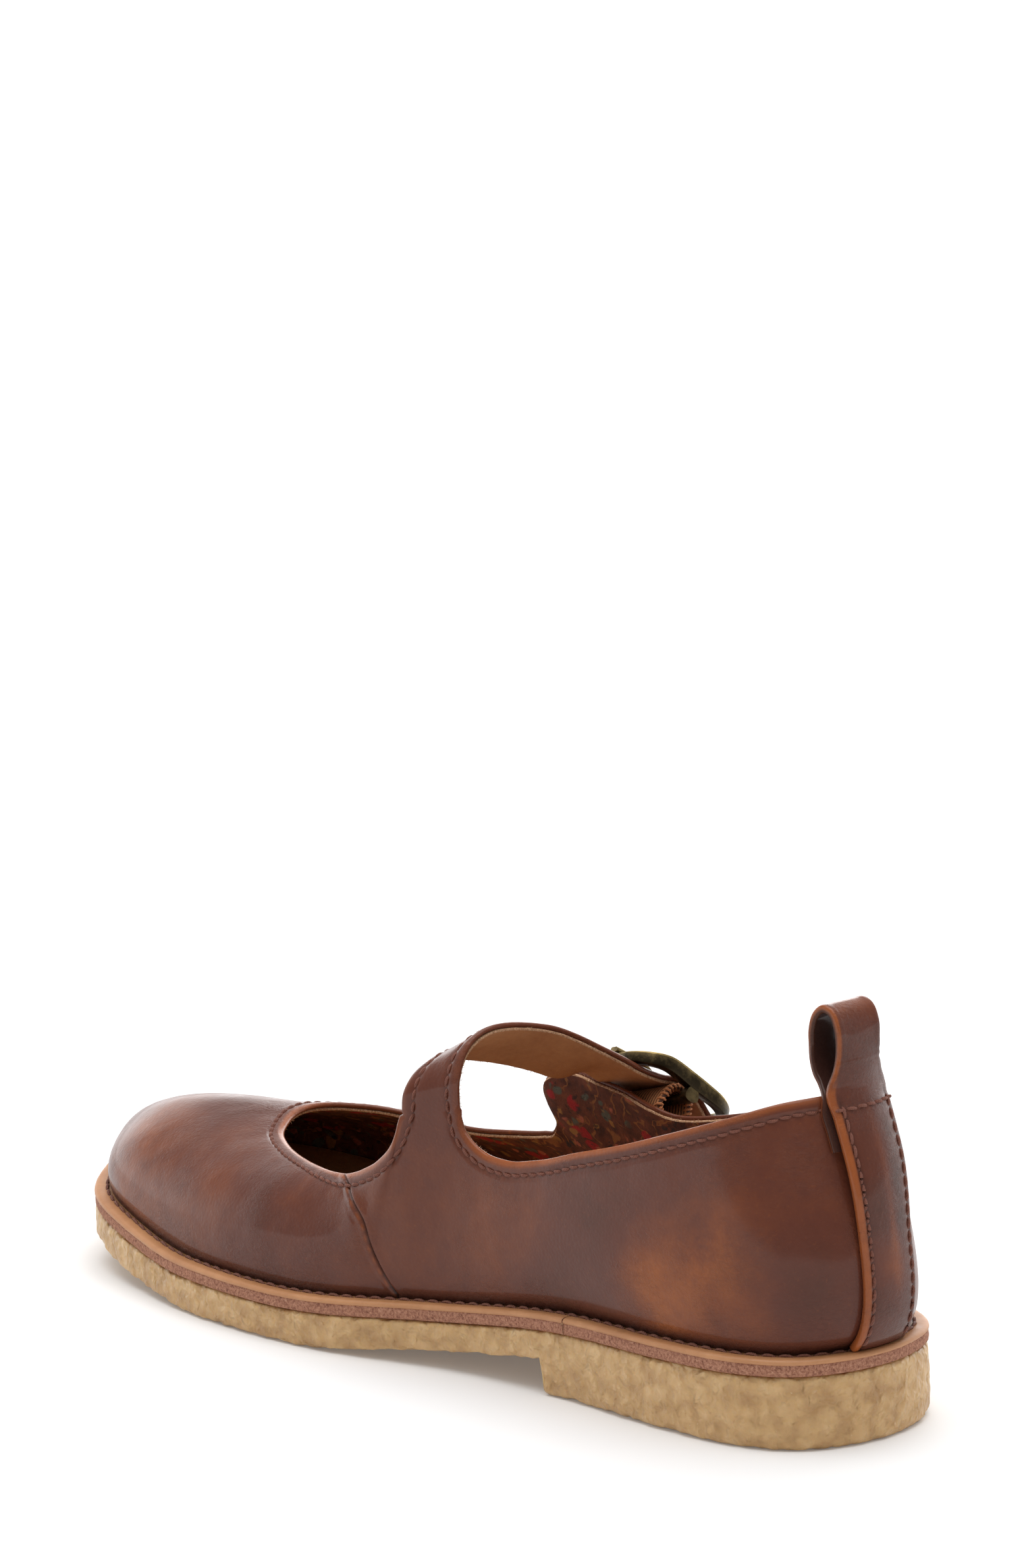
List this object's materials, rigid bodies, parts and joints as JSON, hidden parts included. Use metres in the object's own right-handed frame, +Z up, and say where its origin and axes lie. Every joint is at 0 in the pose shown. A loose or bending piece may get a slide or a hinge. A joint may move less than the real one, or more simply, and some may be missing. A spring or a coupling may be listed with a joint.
{
  "type": "mary jane shoe",
  "caption": "Leather mary jane shoe for the right foot with a buckled instep strap, pull loop, leather welt and low crepe sole.",
  "frame": {"origin": "the floor point under the middle of the heel's flat", "axes": "+X from the heel to the toe, +Y to the inner (big toe) side, +Z up from the floor"},
  "size_m": [0.2756, 0.0948, 0.0999],
  "materials": {
    "crepe": "lumpy matt crepe",
    "welt_leather": "smooth top, fibrous cut edge",
    "footbed": "matt",
    "leather": "burnished satin",
    "brass": "antique, satin",
    "elastic": "ribbed weave"
  },
  "bodies": {
    "root": {"outsole": "crepe", "welt": "welt_leather", "insole": "footbed", "upper": "leather", "backstay": "leather", "buckle_frame": "brass", "buckle_prong": "brass", "elastic_loop": "elastic"}
  },
  "joints": []
}
